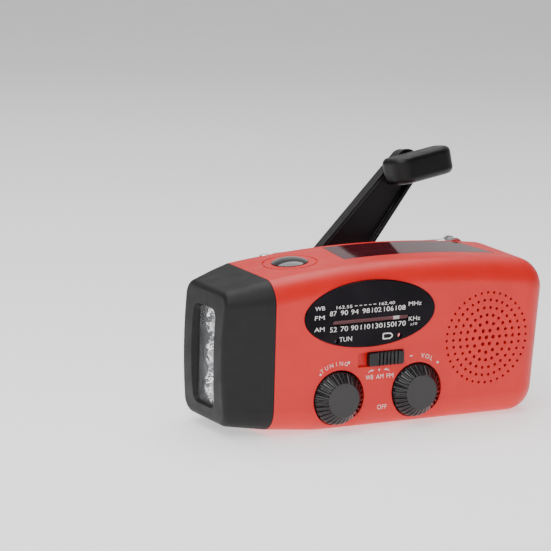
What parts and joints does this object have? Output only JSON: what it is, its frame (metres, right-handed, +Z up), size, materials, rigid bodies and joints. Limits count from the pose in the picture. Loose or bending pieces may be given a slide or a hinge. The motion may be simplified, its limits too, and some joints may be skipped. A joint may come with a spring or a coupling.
{
  "type": "emergency radio",
  "caption": "Hand-crank emergency radio with a lamp end, oval tuning dial, speaker grille, two control knobs, a solar top, a folding crank and a telescopic antenna.",
  "frame": {"origin": "middle of the flat base, between the front and back faces, 64 mm from the speaker end", "axes": "+X from the lamp end to the speaker end, -Y out of the front panel, +Z up"},
  "size_m": [0.1297, 0.0716, 0.0898],
  "materials": {
    "red_shell": "satin",
    "black_rubber": "satin",
    "black_plastic": "satin",
    "black_gloss": "gloss",
    "clear_window": "clear gloss",
    "lens_white": "gloss",
    "solar_silicon": "gloss",
    "mirror_chrome": "polished",
    "steel": "satin",
    "gear_nylon": "satin",
    "pinion_brass": "satin",
    "coil_copper": "enamelled",
    "board_green": "satin",
    "cone_paper": "matt",
    "ferrite": "matt",
    "cell_wrap": "satin"
  },
  "bodies": {
    "radio": {"antenna_bracket": "steel", "antenna_pin": "steel", "band_switch": "black_plastic", "battery_cell": "cell_wrap", "button_switch": "black_plastic", "case_screws": "steel", "dial_lens": "black_gloss", "dial_plate": "black_plastic", "ferrite_coil": "coil_copper", "ferrite_rod": "ferrite", "front_shell": "red_shell", "gear_plate": "gear_nylon", "generator_coil": "coil_copper", "generator_housing": "steel", "idler_shaft": "steel", "indicator_leds": "lens_white", "lamp_bezel": "black_rubber", "lamp_board": "board_green", "lamp_leds": "lens_white", "lamp_lens": "clear_window", "lamp_reflector": "mirror_chrome", "main_board": "board_green", "port_board": "board_green", "rear_shell": "red_shell", "small_screws": "steel", "solar_cell": "solar_silicon", "solar_window": "clear_window", "speaker_basket": "steel", "speaker_cone": "cone_paper", "speaker_magnet": "steel", "tuner_chips": "black_plastic", "tuning_capacitor": "black_plastic", "usb_charge_socket": "steel", "usb_output_socket": "steel", "volume_potentiometer": "black_plastic"},
    "tuner": {"tuning_knob": "black_gloss", "tuning_shaft": "steel"},
    "pointer": {"dial_pointer": "lens_white"},
    "volume": {"volume_knob": "black_gloss", "volume_shaft": "steel"},
    "band": {"band_slider": "black_plastic"},
    "button": {"flashlight_button": "black_gloss"},
    "crank": {"crank_hub": "black_plastic", "crank_shaft": "steel", "crank_gear": "gear_nylon", "retaining_ring": "steel", "hinge_pin": "steel"},
    "idler": {"idler_gear": "gear_nylon"},
    "rotor": {"generator_rotor": "steel", "rotor_pinion": "pinion_brass"},
    "arm": {"crank_arm": "black_plastic", "grip_pin": "steel"},
    "grip": {"crank_grip": "black_rubber"},
    "antenna": {"antenna_section_1": "mirror_chrome"},
    "antenna_2": {"antenna_section_2": "mirror_chrome"},
    "antenna_3": {"antenna_section_3": "mirror_chrome"},
    "antenna_4": {"antenna_section_4": "mirror_chrome"},
    "antenna_5": {"antenna_section_5": "mirror_chrome", "antenna_tip": "mirror_chrome"},
    "flap": {"port_flap": "black_rubber"}
  },
  "joints": [
    {"name": "tuning_spin", "type": "hinge", "parent": "radio", "child": "tuner", "pos_m": [-0.0218, -0.0225, 0.0127], "axis": [0, 1, 0], "range_deg": [-268, 31]},
    {"name": "pointer_slide", "type": "slide", "parent": "radio", "child": "pointer", "axis": [1, 0, 0], "range_m": [-0.02596, 0.00305]},
    {"name": "volume_spin", "type": "hinge", "parent": "radio", "child": "volume", "pos_m": [0.01, -0.0225, 0.0129], "axis": [0, 1, 0], "range_deg": [0, 300]},
    {"name": "band_slide", "type": "slide", "parent": "radio", "child": "band", "axis": [1, 0, 0], "range_m": [-0.004, 0]},
    {"name": "button_press", "type": "slide", "parent": "radio", "child": "button", "axis": [0.0891, 0, -0.996], "range_m": [0, 0.001], "stiffness_N_per_m": 1000, "springref_m": -0.0005},
    {"name": "crank_spin", "type": "hinge", "parent": "radio", "child": "crank", "pos_m": [-0.0075, 0.0249, 0.041], "axis": [0, -1, 0], "continuous": true},
    {"name": "idler_spin", "type": "hinge", "parent": "radio", "child": "idler", "pos_m": [-0.02, 0.0105, 0.03167], "axis": [0, -1, 0], "continuous": true},
    {"name": "rotor_spin", "type": "hinge", "parent": "radio", "child": "rotor", "pos_m": [-0.0275, 0.0048, 0.01799], "axis": [0, -1, 0], "continuous": true},
    {"name": "arm_fold", "type": "hinge", "parent": "crank", "child": "arm", "pos_m": [-0.0075, 0.0249, 0.041], "axis": [-0.6561, 0, 0.7547], "range_deg": [-15, 160]},
    {"name": "grip_spin", "type": "hinge", "parent": "arm", "child": "grip", "pos_m": [0.03977, 0.0392, 0.08209], "axis": [0.1953, -0.9659, 0.1698], "continuous": true},
    {"name": "antenna_lift", "type": "hinge", "parent": "radio", "child": "antenna", "pos_m": [0.047, 0.018, 0.0558], "axis": [0, 1, 0], "range_deg": [0, 135]},
    {"name": "antenna_slide_2", "type": "slide", "parent": "antenna", "child": "antenna_2", "axis": [-1, 0, 0], "range_m": [0, 0.058]},
    {"name": "antenna_slide_3", "type": "slide", "parent": "antenna_2", "child": "antenna_3", "axis": [-1, 0, 0], "range_m": [0, 0.058]},
    {"name": "antenna_slide_4", "type": "slide", "parent": "antenna_3", "child": "antenna_4", "axis": [-1, 0, 0], "range_m": [0, 0.058]},
    {"name": "antenna_slide_5", "type": "slide", "parent": "antenna_4", "child": "antenna_5", "axis": [-1, 0, 0], "range_m": [0, 0.058]},
    {"name": "flap_open", "type": "hinge", "parent": "radio", "child": "flap", "pos_m": [0.06275, 0.005, 0.02401], "axis": [0.0771, 0, 0.997], "range_deg": [0, 120]}
  ],
  "couplings": [
    {"joint": "pointer_slide", "follows": "tuning_spin", "m_per_rad": 0.0055386},
    {"joint": "idler_spin", "follows": "crank_spin", "ratio": -3},
    {"joint": "rotor_spin", "follows": "crank_spin", "ratio": 9}
  ]
}
